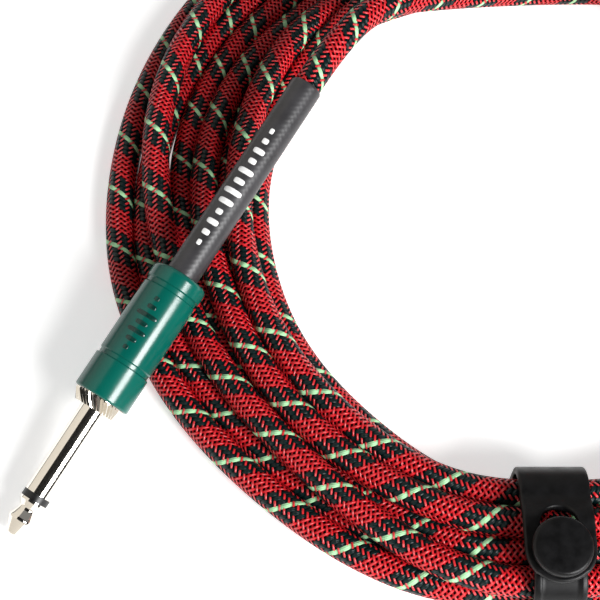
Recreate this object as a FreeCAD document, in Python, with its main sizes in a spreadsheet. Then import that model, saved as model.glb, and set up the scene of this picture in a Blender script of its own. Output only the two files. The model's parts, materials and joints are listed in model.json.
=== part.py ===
import FreeCAD, Part
import math
import os
import Sketcher

# A coiled instrument cable: a tweed-braided cord with a 6.35 mm mono plug on each end, held by a
# rubber button tie. The frame stands on the floor with +Z up. The coil is round about the origin,
# the tie is on its near side (-Y), plug A lies on the left (-X) and plug B mirrors it on the right.

# Driving dimensions in millimetres, with the angles in degrees. A station is a distance along the
# plug's own axis from the point of its tip.
SIZES = {
    "pin_radius": 3.175,
    "nose_radius": 1.3,
    "ball_station": 3.9,
    "neck_station": 6.5,
    "neck_radius": 2.05,
    "flare_station": 8.1,
    "tip_station": 8.7,
    "ring_station": 10.3,
    "sleeve_station": 32.3,
    "collar_station": 35.1,
    "collar_small_radius": 4.85,
    "collar_large_radius": 6.1,
    "knurl_count": 36,
    "knurl_width": 0.62,
    "knurl_depth": 0.32,
    "knurl_slant": 32,
    "stem_station": 39.6,
    "stem_radius": 5.55,
    "stem_groove_depth": 0.3,
    "thread_pitch": 0.9,
    "rod_radius": 1.1,
    "rod_tube_radius": 1.9,
    "ground_plate_radius": 4.3,
    "terminal_thickness": 0.6,
    "terminal_width": 4.2,
    "terminal_offset": 3.55,
    "clamp_station": 57.5,
    "clamp_length": 4.0,
    "washer_thickness": 1.0,
    "washer_radius": 3.1,
    "tip_lug_width": 2.6,
    "tip_lug_end": 47.5,
    "conductor_radius": 0.45,
    "core_joint": 46.1,
    "shield_radius": 0.63,
    "shield_joint": 48.0,
    "insulation_radius": 1.25,
    "insulation_start": 52.7,
    "jacket_start": 55.0,
    "jacket_radius": 2.7,
    "braid_start": 57.0,
    "cable_radius": 3.4,
    "boot_start": 62.0,
    "boot_end": 122.0,
    "boot_radius": 3.85,
    "exit_run": 15.0,
    "barrel_radius": 6.75,
    "barrel_body_radius": 6.6,
    "barrel_bore_radius": 5.63,
    "barrel_start": 35.2,
    "front_band_length": 8.6,
    "groove_length": 1.5,
    "groove_depth": 0.45,
    "rear_ring_length": 3.6,
    "rear_groove_length": 1.6,
    "barrel_length": 33.0,
    "rear_wall": 2.4,
    "barrel_hole_radius": 4.15,
    "liner_start": 41.0,
    "liner_end": 64.5,
    "liner_radius": 5.3,
    "liner_wall": 0.5,
    "plug_tip_x": 116.7,
    "plug_tip_y": -87.4,
    "plug_tip_z": 3.5,
    "plug_heading": 57.3,
    "plug_slope": 11.07,
    "coil_radius": 103.2,
    "coil_y": 2.5,
    "coil_base_height": 6.2,
    "coil_edge_round": 3.2,
    "coil_hole_radius": 64.0,
    "coil_hole_y": -13.5,
    "layer_low_radius": 77.0,
    "layer_top_radius": 69.0,
    "layer_y": -17.0,
    "layer_height": 12.7,
    "heap_low_radius": 68.5,
    "heap_top_radius": 63.0,
    "heap_y": -30.0,
    "heap_height": 17.0,
    "tie_width": 15.0,
    "tie_pad_width": 11.0,
    "tie_thickness": 1.7,
    "tie_outer_y": -105.7,
    "tie_inner_y": -75.0,
    "tie_height": 19.0,
    "tie_corner": 7.0,
    "tie_pad_end_y": -89.3,
    "button_y": -95.1,
    "button_neck_radius": 3.1,
    "button_head_radius": 6.3,
    "button_head_height": 2.4,
    "tab_lift": 0.3,
    "tab_hinge_y": -81.0,
    "tab_end_y": -102.1,
    "tab_ramp_y": -88.5,
    "slot_width": 8.0,
    "slot_inner_y": -86.1,
    "slot_outer_y": -98.8,
    "pad_start_z": 6.0,
    "tab_root": 2.0,
    "tab_corner_share": 0.42,
    "rivet_lip": 0.6,
    "tip_round": 0.9,
    "collar_edge": 0.5,
    "thread_lead_in": 0.6,
    "groove_slope": 0.3,
    "barrel_front_round": 0.5,
    "barrel_rear_round": 1.2,
    "clamp_gap": 2.4,
    "eye_radius": 0.65,
    "eye_setback": 1.4,
    "core_bead_radius": 0.95,
    "shield_bead_radius": 1.1,
    "lap": 0.4,
    "past": 1.0,
}
# lap is how far two fused shapes run into each other, and past is how far a cutting shape reaches
# beyond what it cuts.

doc = FreeCAD.newDocument("instrument_cable")
sheet = doc.addObject("Spreadsheet::Sheet", "Sizes")
for row, (alias, value) in enumerate(SIZES.items(), start=1):
    sheet.set(f"A{row}", alias)
    sheet.set(f"B{row}", str(value))
    sheet.setAlias(f"B{row}", alias)
doc.recompute()

nodes = {}


def size(alias):
    """The value that the sheet holds under an alias."""
    return float(sheet.get(alias))


def keep(label, thing):
    """Name a finished sub-part, which also names its file."""
    thing.Label = label
    nodes[label] = thing
    return thing


def bind(thing, **formulas):
    """Tie properties of an object to formulas of the sheet's aliases."""
    for name, formula in formulas.items():
        thing.setExpression(name.replace("_", "."), cells(formula))
    return thing


def cells(formula):
    """Put the sheet's name before each alias in a formula."""
    words = formula.replace("(", "( ").replace(")", " )").split()
    return " ".join("Sizes." + word if word in SIZES else word for word in words)


# The plugs. Each is built along its own +Z, with its tip's point at 0, and is then placed.

def plug_placement(side):
    """Place plug A (side -1) or plug B (side +1), with the local +Z from the tip to the tail."""
    heading = math.radians(size("plug_heading"))
    slope = math.radians(size("plug_slope"))
    tail = FreeCAD.Vector(
        -side * math.cos(slope) * math.cos(heading),
        math.cos(slope) * math.sin(heading),
        math.sin(slope),
    )
    above = FreeCAD.Vector(0, 0, 1) - tail * tail.z
    turn = FreeCAD.Rotation(above.cross(tail), above, tail, "ZXY")
    tip = FreeCAD.Vector(side * size("plug_tip_x"), size("plug_tip_y"), size("plug_tip_z"))
    return FreeCAD.Placement(tip, turn)


def origin_plane(body, role):
    """The body's own origin plane with this role."""
    return next(item for item in body.Origin.OriginFeatures if item.Role == role)


def outline(body, name, corners):
    """A closed sketch on the body's XZ plane. Each corner is a pair of formulas: radius, station."""
    sketch = body.newObject("Sketcher::SketchObject", name)
    sketch.AttachmentSupport = (origin_plane(body, "XZ_Plane"), [""])
    sketch.MapMode = "FlatFace"
    count = len(corners)
    start = [FreeCAD.Vector(index + 1.0, 1.0 + index * index, 0) for index in range(count)]
    for index in range(count):
        line = Part.LineSegment(start[index], start[(index + 1) % count])
        sketch.addGeometry(line, False)
    for index in range(count):
        following = (index + 1) % count
        sketch.addConstraint(Sketcher.Constraint("Coincident", index, 2, following, 1))
    for index, (radius, station) in enumerate(corners):
        for kind, axis, formula in (("DistanceX", -2, radius), ("DistanceY", -1, station)):
            if formula == "0":
                sketch.addConstraint(Sketcher.Constraint("PointOnObject", index, 1, axis))
                continue
            rule = Sketcher.Constraint(kind, -1, 1, index, 1, 1.0)
            number = sketch.addConstraint(rule)
            sketch.setExpression(f"Constraints[{number}]", cells(formula))
    return sketch


def turned(label, corners, place, rounds=()):
    """A body turned about its own Z. Rounds are (radius, station, fillet) of its circular edges."""
    body = doc.addObject("PartDesign::Body", label)
    sketch = outline(body, label + "_outline", corners)
    turning = body.newObject("PartDesign::Revolution", label + "_turning")
    turning.Profile = sketch
    turning.ReferenceAxis = (sketch, ["V_Axis"])
    turning.Angle = 360.0
    doc.recompute()
    last = turning
    for number, (radius, station, fillet) in enumerate(rounds, start=1):
        edge = circle_edge(last.Shape, radius, station)
        rounding = body.newObject("PartDesign::Fillet", f"{label}_round_{number}")
        rounding.Base = (last, [edge])
        rounding.Radius = fillet
        doc.recompute()
        last = rounding
    body.Tip = last
    body.Placement = place
    return keep(label, body)


def circle_edge(shape, radius, station):
    """The name of the circular edge with this radius at this station."""
    def miss(edge):
        if not isinstance(edge.Curve, Part.Circle):
            return 1e9
        return abs(edge.Curve.Radius - radius) + abs(edge.Curve.Center.z - station)
    best = min(range(len(shape.Edges)), key=lambda index: miss(shape.Edges[index]))
    return f"Edge{best + 1}"


def solid(label, shape, place):
    """A sub-part whose shape is worked out with Part's own functions."""
    thing = doc.addObject("Part::Feature", label)
    thing.Shape = shape
    thing.Placement = place
    return keep(label, thing)


def tube(label, inner, outer, start, end, place):
    """A straight tube between two stations, given as formulas of the sheet."""
    body = doc.addObject("Part::Cylinder", label + "_outer")
    bind(body, Radius=outer, Height=f"{end} - ( {start} )", Placement_Base_z=start)
    hole = doc.addObject("Part::Cylinder", label + "_bore")
    bind(hole, Radius=inner, Height=f"{end} - ( {start} ) + 2 * past", Placement_Base_z=f"{start} - past")
    cut = doc.addObject("Part::Cut", label)
    cut.Base = body
    cut.Tool = hole
    cut.Placement = place
    return keep(label, cut)


def tip_contact(mark, place):
    """The tip: nose, ball, neck and flare, with the rod that runs back to the solder terminal."""
    rod_end = "stem_station + terminal_thickness * 2 + washer_thickness"
    corners = [
        ("0", "0"),
        ("nose_radius", "0"),
        ("pin_radius", "ball_station"),
        ("neck_radius", "neck_station"),
        ("pin_radius", "flare_station"),
        ("pin_radius", "tip_station"),
        ("rod_radius", "tip_station"),
        ("rod_radius", rod_end),
        ("rod_radius + rivet_lip", rod_end),
        ("rod_radius + rivet_lip", rod_end + " + rivet_lip"),
        ("0", rod_end + " + rivet_lip"),
    ]
    rounds = [
        (size("nose_radius"), 0.0, size("tip_round")),
        (size("pin_radius"), size("ball_station"), size("tip_round")),
        (size("neck_radius"), size("neck_station"), size("tip_round")),
    ]
    turned("tip_contact" + mark, corners, place, rounds)


def knurl_grooves():
    """Slanted V grooves around the collar's cone, as one compound of three-sided bars."""
    half = size("knurl_width") / 2
    depth = size("knurl_depth")
    front = size("sleeve_station")
    back = size("collar_station")
    mid_radius = (size("collar_small_radius") + size("collar_large_radius")) / 2
    rise = size("collar_large_radius") - size("collar_small_radius")
    reach = (back - front) * 0.95
    section = Part.makePolygon([
        FreeCAD.Vector(-depth, 0, -reach),
        FreeCAD.Vector(depth, half * 2, -reach),
        FreeCAD.Vector(depth, -half * 2, -reach),
        FreeCAD.Vector(-depth, 0, -reach),
    ])
    bar = Part.Face(section).extrude(FreeCAD.Vector(0, 0, reach * 2))
    bar.rotate(FreeCAD.Vector(), FreeCAD.Vector(1, 0, 0), size("knurl_slant"))
    bar.rotate(FreeCAD.Vector(), FreeCAD.Vector(0, 1, 0), math.degrees(math.atan2(rise, back - front)))
    bar.translate(FreeCAD.Vector(mid_radius, 0, (front + back) / 2))
    bars = []
    for index in range(int(size("knurl_count"))):
        copy = bar.copy()
        copy.rotate(FreeCAD.Vector(), FreeCAD.Vector(0, 0, 1), index * 360.0 / size("knurl_count"))
        bars.append(copy)
    return Part.makeCompound(bars)


def sleeve(mark, place):
    """The nickel sleeve, its knurled collar and the grooved stem that the barrel screws on to."""
    corners = [
        ("rod_tube_radius", "ring_station"),
        ("pin_radius", "ring_station"),
        ("pin_radius", "sleeve_station"),
        ("collar_small_radius", "sleeve_station"),
        ("collar_large_radius", "collar_station - collar_edge"),
        ("collar_large_radius", "collar_station"),
        ("stem_radius", "collar_station"),
    ]
    threaded = size("stem_station") - size("collar_station") - size("thread_pitch")
    grooves = int(threaded / size("thread_pitch"))
    for index in range(grooves):
        foot = f"collar_station + thread_lead_in + {index} * thread_pitch"
        corners += [
            ("stem_radius", foot),
            ("stem_radius - stem_groove_depth", foot + " + groove_slope"),
            ("stem_radius", foot + " + 2 * groove_slope"),
        ]
    corners += [("stem_radius", "stem_station"), ("rod_tube_radius", "stem_station")]
    body = doc.addObject("PartDesign::Body", "sleeve_blank" + mark)
    sketch = outline(body, "sleeve_outline" + mark, corners)
    turning = body.newObject("PartDesign::Revolution", "sleeve_turning" + mark)
    turning.Profile = sketch
    turning.ReferenceAxis = (sketch, ["V_Axis"])
    turning.Angle = 360.0
    doc.recompute()
    knurls = doc.addObject("Part::Feature", "knurls" + mark)
    knurls.Shape = knurl_grooves()
    cut = doc.addObject("Part::Cut", "sleeve" + mark)
    cut.Base = body
    cut.Tool = knurls
    cut.Placement = place
    keep("sleeve" + mark, cut)


def barrel(mark, place):
    """The painted barrel: a front band, two grooves, a rounded rear ring and a wall with the cable hole."""
    rear = "barrel_start + barrel_length"
    front_groove = "barrel_start + front_band_length"
    rear_ring = f"{rear} - rear_ring_length"
    rear_groove = f"{rear_ring} - rear_groove_length"
    corners = [
        ("barrel_bore_radius", "barrel_start"),
        ("barrel_radius", "barrel_start"),
        ("barrel_radius", front_groove),
        ("barrel_radius - groove_depth", front_groove + " + groove_slope"),
        ("barrel_radius - groove_depth", front_groove + " + groove_length - groove_slope"),
        ("barrel_body_radius", front_groove + " + groove_length"),
        ("barrel_body_radius", rear_groove),
        ("barrel_radius - groove_depth", rear_groove + " + groove_slope"),
        ("barrel_radius - groove_depth", rear_ring + " - groove_slope"),
        ("barrel_radius", rear_ring),
        ("barrel_radius", rear),
        ("barrel_hole_radius", rear),
        ("barrel_hole_radius", f"{rear} - rear_wall"),
        ("barrel_bore_radius", f"{rear} - rear_wall"),
    ]
    rear_station = size("barrel_start") + size("barrel_length")
    rounds = [
        (size("barrel_radius"), size("barrel_start"), size("barrel_front_round")),
        (size("barrel_radius"), rear_station, size("barrel_rear_round")),
    ]
    turned("barrel" + mark, corners, place, rounds)


def ring_plate(outer, inner, start, thickness):
    """A flat washer across the plug's axis."""
    plate = Part.makeCylinder(outer, thickness, FreeCAD.Vector(0, 0, start))
    past = size("past")
    hole = Part.makeCylinder(inner, thickness + 2 * past, FreeCAD.Vector(0, 0, start - past))
    return plate.cut(hole)


def ground_lug(mark, place):
    """The ground terminal: a plate on the stem, a strip along the underside and a cord clamp."""
    start = size("stem_station")
    thick = size("terminal_thickness")
    width = size("terminal_width")
    offset = size("terminal_offset")
    clamp = size("clamp_station")
    plate = ring_plate(size("ground_plate_radius"), size("rod_tube_radius"), start, thick)
    strip = Part.makeBox(thick, width, clamp - start, FreeCAD.Vector(-offset - thick / 2, -width / 2, start))
    clamp_ring = ring_plate(
        size("cable_radius") + thick, size("cable_radius"), clamp, size("clamp_length")
    )
    open_width = size("clamp_gap")
    past = size("past")
    gap = Part.makeBox(
        size("cable_radius") + thick + past, open_width, size("clamp_length") + 2 * past,
        FreeCAD.Vector(0, -open_width / 2, clamp - past),
    )
    shape = plate.fuse(strip).fuse(clamp_ring.cut(gap)).removeSplitter()
    solid("ground_lug" + mark, shape, place)


def tip_lug(mark, place):
    """The tip terminal: a small plate riveted by the rod and a tab with a solder eye."""
    start = size("stem_station") + size("terminal_thickness") + size("washer_thickness")
    thick = size("terminal_thickness")
    width = size("tip_lug_width")
    end = size("tip_lug_end")
    plate = ring_plate(width, size("rod_radius"), start, thick)
    tab = Part.makeBox(thick, width, end - start, FreeCAD.Vector(width - thick, -width / 2, start))
    eye_place = FreeCAD.Vector(0, 0, end - size("eye_setback"))
    eye = Part.makeCylinder(size("eye_radius"), 2 * width, eye_place, FreeCAD.Vector(1, 0, 0))
    solid("tip_lug" + mark, plate.fuse(tab).cut(eye).removeSplitter(), place)


def wire_lanes():
    """The sideways places of the core wire and of the shield tail, each against its terminal."""
    strip_face = size("terminal_offset") - size("terminal_thickness") / 2
    core = size("tip_lug_width") + size("conductor_radius")
    shield = size("shield_radius") - strip_face
    return core, shield


def solder_joints(mark, place):
    """A bead of solder on each terminal, around the end of its conductor."""
    core, shield = wire_lanes()
    joints = (
        (size("tip_lug_width"), size("core_joint"), size("core_bead_radius"),
         core, size("conductor_radius")),
        (shield - size("shield_radius"), size("shield_joint"), size("shield_bead_radius"),
         shield, size("shield_radius")),
    )
    beads = []
    for face, station, radius, lane, wire in joints:
        bead = Part.makeSphere(radius, FreeCAD.Vector(face, 0, station))
        inner_half = Part.makeBox(4, 4, 4, FreeCAD.Vector(face, -2, station - 2))
        conductor = Part.makeCylinder(wire, 6, FreeCAD.Vector(lane, 0, station - 3))
        beads.append(bead.common(inner_half).cut(conductor))
    solid("solder_joints" + mark, Part.makeCompound(beads), place)


def bent_wire(points, radius):
    """A round wire along straight runs joined by tangent arcs, each 0.45 of its shorter run."""
    edges = []
    here = points[0]
    for before, corner, after in zip(points, points[1:], points[2:]):
        into = (corner - before).normalize()
        out = (after - corner).normalize()
        cut = 0.45 * min((corner - before).Length, (after - corner).Length)
        begin = corner - into * cut
        finish = corner + out * cut
        turn = into.getAngle(out)
        bend = cut / math.tan(turn / 2)
        inward = (out - into).normalize()
        middle = corner + inward * (math.hypot(bend, cut) - bend)
        edges.append(Part.LineSegment(here, begin).toShape())
        edges.append(Part.Arc(begin, middle, finish).toShape())
        here = finish
    edges.append(Part.LineSegment(here, points[-1]).toShape())
    path = Part.Wire(edges)
    start = points[0]
    ring = Part.Wire([Part.makeCircle(radius, start, points[1] - points[0])])
    return path.makePipeShell([ring], True, True)


def conductors(mark, place):
    """The core wire from the tip terminal and the shield tail from the ground strip, to the jacket."""
    core, shield = wire_lanes()
    jacket = size("jacket_start")
    core_points = [
        FreeCAD.Vector(core, 0, size("core_joint") - 0.9),
        FreeCAD.Vector(core, 0, size("core_joint") + 2.5),
        FreeCAD.Vector(0, 0, size("insulation_start") - 1.0),
        FreeCAD.Vector(0, 0, jacket),
    ]
    shield_points = [
        FreeCAD.Vector(shield, 0, size("shield_joint") - 1.3),
        FreeCAD.Vector(shield, 0, jacket - 3.4),
        FreeCAD.Vector(size("shield_radius") - size("jacket_radius"), 0, jacket - 0.2),
    ]
    solid("core_wire" + mark, bent_wire(core_points, size("conductor_radius")), place)
    solid("shield_tail" + mark, bent_wire(shield_points, size("shield_radius")), place)


def plug(side, mark):
    """One whole plug with the end of the cable inside it."""
    place = plug_placement(side)
    washer = "stem_station + terminal_thickness"
    tip_contact(mark, place)
    tube("tip_ring" + mark, "rod_radius", "pin_radius", "tip_station", "ring_station", place)
    tube("rod_tube" + mark, "rod_radius", "rod_tube_radius", "ring_station",
         "stem_station + terminal_thickness", place)
    sleeve(mark, place)
    ground_lug(mark, place)
    tube("rear_washer" + mark, "rod_radius", "washer_radius", washer, washer + " + washer_thickness", place)
    tip_lug(mark, place)
    solder_joints(mark, place)
    conductors(mark, place)
    tube("core_insulation" + mark, "conductor_radius", "insulation_radius", "insulation_start",
         "jacket_start", place)
    jacket = [("0", "jacket_start"), ("jacket_radius", "jacket_start"), ("jacket_radius", "boot_end"),
              ("0", "boot_end")]
    turned("jacket" + mark, jacket, place)
    tube("braid" + mark, "jacket_radius", "cable_radius", "braid_start", "boot_end", place)
    tube("boot" + mark, "cable_radius", "boot_radius", "boot_start", "boot_end", place)
    tube("liner" + mark, "liner_radius - liner_wall", "liner_radius", "liner_start", "liner_end", place)
    barrel(mark, place)


# The coil and the leads.

def band_outline(inset, width):
    """The tie's loop around the bundle: a rounded box across Y and Z, drawn in by an inset."""
    low_y = size("tie_outer_y") + inset
    high_y = size("tie_inner_y") - inset
    low_z = inset
    high_z = size("tie_height") - inset
    box = Part.makeBox(
        width, high_y - low_y, high_z - low_z, FreeCAD.Vector(-width / 2, low_y, low_z)
    )
    long_edges = [edge for edge in box.Edges if abs(edge.tangentAt(edge.FirstParameter).x) > 0.9]
    return box.makeFillet(size("tie_corner") - inset, long_edges)


def coil():
    """The wound turns as one closed ring: a flat base, a second layer and a heap under the tie."""
    base = doc.addObject("Part::Cylinder", "coil_base")
    bind(base, Radius="coil_radius", Height="coil_base_height", Placement_Base_y="coil_y")
    layer = doc.addObject("Part::Cone", "coil_layer")
    bind(layer, Radius1="layer_low_radius", Radius2="layer_top_radius",
         Height="layer_height - coil_base_height + lap", Placement_Base_y="layer_y",
         Placement_Base_z="coil_base_height - lap")
    heap = doc.addObject("Part::Cone", "coil_heap")
    bind(heap, Radius1="heap_low_radius", Radius2="heap_top_radius",
         Height="heap_height - coil_base_height + lap", Placement_Base_y="heap_y",
         Placement_Base_z="coil_base_height - lap")
    doc.recompute()
    rounded = doc.addObject("Part::Fillet", "coil_base_round")
    rounded.Base = base
    top = int(circle_edge(base.Shape, size("coil_radius"), size("coil_base_height"))[4:])
    rounded.Edges = [(top, size("coil_edge_round"), size("coil_edge_round"))]
    stack = doc.addObject("Part::MultiFuse", "coil_stack")
    stack.Shapes = [rounded, layer, heap]
    hole = doc.addObject("Part::Cylinder", "coil_hole")
    bind(hole, Radius="coil_hole_radius", Height="heap_height + 2 * past", Placement_Base_y="coil_hole_y",
         Placement_Base_z="0 - past")
    ring = doc.addObject("Part::Cut", "coil_ring")
    ring.Base = stack
    ring.Tool = hole
    gap = doc.addObject("Part::Box", "tie_gap")
    bind(gap, Length="tie_width", Width="coil_hole_y - tie_outer_y", Height="tie_height + 2 * past",
         Placement_Base_x="0 - tie_width / 2", Placement_Base_y="tie_outer_y - past",
         Placement_Base_z="0 - past")
    open_ring = doc.addObject("Part::Cut", "coil_open_ring")
    open_ring.Base = ring
    open_ring.Tool = gap
    neck = doc.addObject("Part::Feature", "coil_neck")
    neck.Shape = band_outline(size("tie_thickness"), size("tie_width"))
    whole = doc.addObject("Part::Fuse", "coil")
    whole.Base = open_ring
    whole.Tool = neck
    return keep("coil", whole)


# Each lead's route, from beyond its plug's boot to where it sinks into the wound turns. lead() puts
# the middle of the boot's end and a point straight out of it before these.
LEAD_A = [
    (-33.5, 36.5, 28.5),
    (-17.0, 44.5, 20.5),
    (1.5, 52.0, 12.0),
    (20.0, 57.0, 6.0),
    (36.0, 56.5, 4.2),
]
LEAD_B = [
    (32.5, 35.5, 27.5),
    (15.0, 44.5, 27.0),
    (-3.0, 51.5, 26.0),
    (-21.0, 53.0, 21.5),
    (-38.0, 46.5, 13.5),
    (-50.5, 36.0, 7.5),
    (-59.0, 23.0, 4.2),
]


def lead(side, mark, rest):
    """The free cable between a plug's boot and the coil, as a tube with its bend radii printed."""
    place = plug_placement(side)
    exits = [place.multVec(FreeCAD.Vector(0, 0, size("boot_end") + run)) for run in (0.0, size("exit_run"))]
    points = exits + [FreeCAD.Vector(*point) for point in rest]
    radii = []
    for before, corner, after in zip(points, points[1:], points[2:]):
        shorter = min((corner - before).Length, (after - corner).Length)
        turn = (corner - before).getAngle(after - corner)
        radii.append(0.45 * shorter / math.tan(turn / 2))
    shape = bent_wire(points, size("cable_radius"))
    length = shape.Volume / (math.pi * size("cable_radius") ** 2)
    print("lead" + mark, "bend radii", [round(value, 1) for value in radii], "length", round(length, 1))
    solid("lead" + mark, shape, FreeCAD.Placement())


# The rubber tie.

def tie_band():
    """The strap around the bundle, open on top between its pad and the eyelet tab."""
    thick = size("tie_thickness")
    wide = size("tie_width")
    pad = size("tie_pad_width")
    top = size("tie_height")
    past = size("past")
    loop = band_outline(0.0, wide).cut(band_outline(thick, wide + 2 * past))
    opening = Part.makeBox(
        wide + 2 * past, size("tab_hinge_y") - size("tie_pad_end_y"), thick + 2 * past,
        FreeCAD.Vector(-wide / 2 - past, size("tie_pad_end_y"), top - thick - past),
    )
    shape = loop.cut(opening)
    margin = (wide - pad) / 2
    for start in (-wide / 2 - past, pad / 2):
        trim = Part.makeBox(
            margin + past, size("tie_pad_end_y") - size("tie_outer_y") + past, top,
            FreeCAD.Vector(start, size("tie_outer_y") - past, size("pad_start_z")),
        )
        shape = shape.cut(trim)
    solid("tie_band", shape.removeSplitter(), FreeCAD.Placement())


def tie_button():
    """The stud on the strap's pad: a neck through the eyelet and a domed head."""
    top = size("tie_height")
    neck_height = size("tab_lift") * 2 + size("tie_thickness")
    head = size("button_head_radius")
    tall = size("button_head_height")
    middle = FreeCAD.Vector(0, size("button_y"), top)
    neck = Part.makeCylinder(size("button_neck_radius"), neck_height + size("lap"), middle)
    disc = Part.makeCylinder(head, tall, middle + FreeCAD.Vector(0, 0, neck_height))
    rims = [edge for edge in disc.Edges if isinstance(edge.Curve, Part.Circle)]
    upper = [edge for edge in rims if edge.Curve.Center.z > top + neck_height + tall / 2]
    disc = disc.makeFillet(tall * 0.4, upper)
    solid("tie_button", neck.fuse(disc).removeSplitter(), FreeCAD.Placement())


def tie_tab():
    """The eyelet end of the strap, which passes over the pad and buttons on to the stud."""
    thick = size("tie_thickness")
    wide = size("tie_width")
    low = size("tie_height") - thick
    lifted = size("tie_height") + size("tab_lift")
    hinge = size("tab_hinge_y")
    ramp = size("tab_ramp_y")
    end = size("tab_end_y")
    root = hinge - size("tab_root")
    lap = size("lap")
    profile = [
        (hinge, low), (root, low), (ramp, lifted), (end, lifted), (end, lifted + thick),
        (ramp - lap, lifted + thick), (root + lap, low + thick), (hinge, low + thick),
    ]
    side = [FreeCAD.Vector(-wide / 2, y, z) for y, z in profile]
    plate = Part.Face(Part.makePolygon(side + side[:1])).extrude(FreeCAD.Vector(wide, 0, 0))
    corners = [
        edge for edge in plate.Edges
        if abs(edge.tangentAt(edge.FirstParameter).z) > 0.9 and abs(edge.CenterOfMass.y - end) < 0.1
    ]
    plate = plate.makeFillet(wide * size("tab_corner_share"), corners)
    half = size("slot_width") / 2
    inner = size("slot_inner_y") - half
    outer = size("slot_outer_y") + half
    depth = lifted + thick - low + 2 * size("past")
    under = low - size("past")
    slot = Part.makeBox(half * 2, inner - outer, depth, FreeCAD.Vector(-half, outer, under))
    for y in (inner, outer):
        slot = slot.fuse(Part.makeCylinder(half, depth, FreeCAD.Vector(0, y, under)))
    solid("tie_tab", plate.cut(slot), FreeCAD.Placement())


for side, mark in ((-1, "_a"), (1, "_b")):
    plug(side, mark)
coil()
lead(-1, "_a", LEAD_A)
lead(1, "_b", LEAD_B)
tie_band()
tie_button()
tie_tab()
doc.recompute()

for thing in doc.Objects:
    if {"Invalid", "Error"} & set(thing.State):
        raise RuntimeError(f"{thing.Name} did not recompute: {thing.State}")
os.makedirs("parts", exist_ok=True)
for label, thing in nodes.items():
    shape = thing.Shape
    if shape.isNull() or not shape.isValid() or shape.Volume <= 0:
        raise RuntimeError(f"{label} has no valid solid")
    shape.exportStep(f"parts/{label}.step")
print(len(nodes), "nodes written")
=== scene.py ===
import json
import math

import bpy
import numpy as np
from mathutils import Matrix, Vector


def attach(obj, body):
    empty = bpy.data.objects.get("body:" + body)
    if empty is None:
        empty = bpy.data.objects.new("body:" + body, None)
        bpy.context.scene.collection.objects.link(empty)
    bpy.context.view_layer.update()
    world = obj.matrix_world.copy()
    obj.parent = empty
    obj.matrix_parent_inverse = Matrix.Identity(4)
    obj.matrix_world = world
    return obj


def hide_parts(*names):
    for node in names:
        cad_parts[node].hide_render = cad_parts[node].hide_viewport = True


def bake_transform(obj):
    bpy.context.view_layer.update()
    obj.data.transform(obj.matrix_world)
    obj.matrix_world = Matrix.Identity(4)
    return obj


# A coiled instrument cable in a red and green tweed braid, with a plug on each end and a rubber
# button tie. Metres, +Z up, plug A on the left and plug B on the right, the tie at -Y.

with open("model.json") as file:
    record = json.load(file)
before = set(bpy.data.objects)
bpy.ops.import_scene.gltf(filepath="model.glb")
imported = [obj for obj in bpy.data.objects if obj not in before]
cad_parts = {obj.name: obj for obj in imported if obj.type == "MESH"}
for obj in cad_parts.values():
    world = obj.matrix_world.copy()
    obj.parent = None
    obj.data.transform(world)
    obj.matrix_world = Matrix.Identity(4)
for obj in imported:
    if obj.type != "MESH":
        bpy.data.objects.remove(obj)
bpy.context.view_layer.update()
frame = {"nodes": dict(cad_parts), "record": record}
print("frame loaded with", len(frame["nodes"]), "nodes")


# the view: down on plug A and the tie
cameraPlace = {
    "lookAt": (-0.0536, -0.0292, 0.0),  # the floor point in the middle of the view
    "distance": 0.330,
    "elevation": 65.0,
    "lens": 82.98,
}


def addCamera(s):
    camera = bpy.data.cameras.new("studioCamera")
    camera.lens = s["lens"]
    camera.sensor_width = 36.0
    camera.clip_start = 0.01
    holder = bpy.data.objects.new("studioCamera", camera)
    bpy.context.scene.collection.objects.link(holder)
    rise = math.radians(s["elevation"])
    aim = np.array(s["lookAt"])
    holder.location = aim + s["distance"] * np.array([0.0, -math.cos(rise), math.sin(rise)])
    holder.rotation_euler = (math.pi / 2 - rise, 0.0, 0.0)
    bpy.context.scene.camera = holder


addCamera(cameraPlace)


# each plug's axis runs from its tip towards the cord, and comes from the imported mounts
def plugAxis(mark):
    # the pin's mount is at a known station, and its direction points out of the tip
    pins = {mount["name"]: mount for mount in frame["record"]["mounts"]}
    pin = pins["plug" + mark + "_pin"]
    tail = -np.array(pin["axis"])
    return np.array(pin["pos_m"]) - tail * plugSizes["pinStation"], tail / np.linalg.norm(tail)


plugSizes = {
    "pinStation": 0.0202,  # middle of the pin, measured from the tip as all stations are
    "pinEnd": 0.033,
    "pinRadius": 0.0032,
    "barrelEnd": 0.101,  # rear of the barrel when it is pulled right back
    "barrelRadius": 0.0076,  # the barrel and its raised marks, and room for them to turn
    "bootStart": 0.062,
    "bootEnd": 0.122,
    "bootRadius": 0.00385,
    "exitRun": 0.015,
}
marks = {"_a": plugAxis("_a"), "_b": plugAxis("_b")}


def stationPoint(mark, station):
    tip, tail = marks[mark]
    return tip + tail * station


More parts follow.
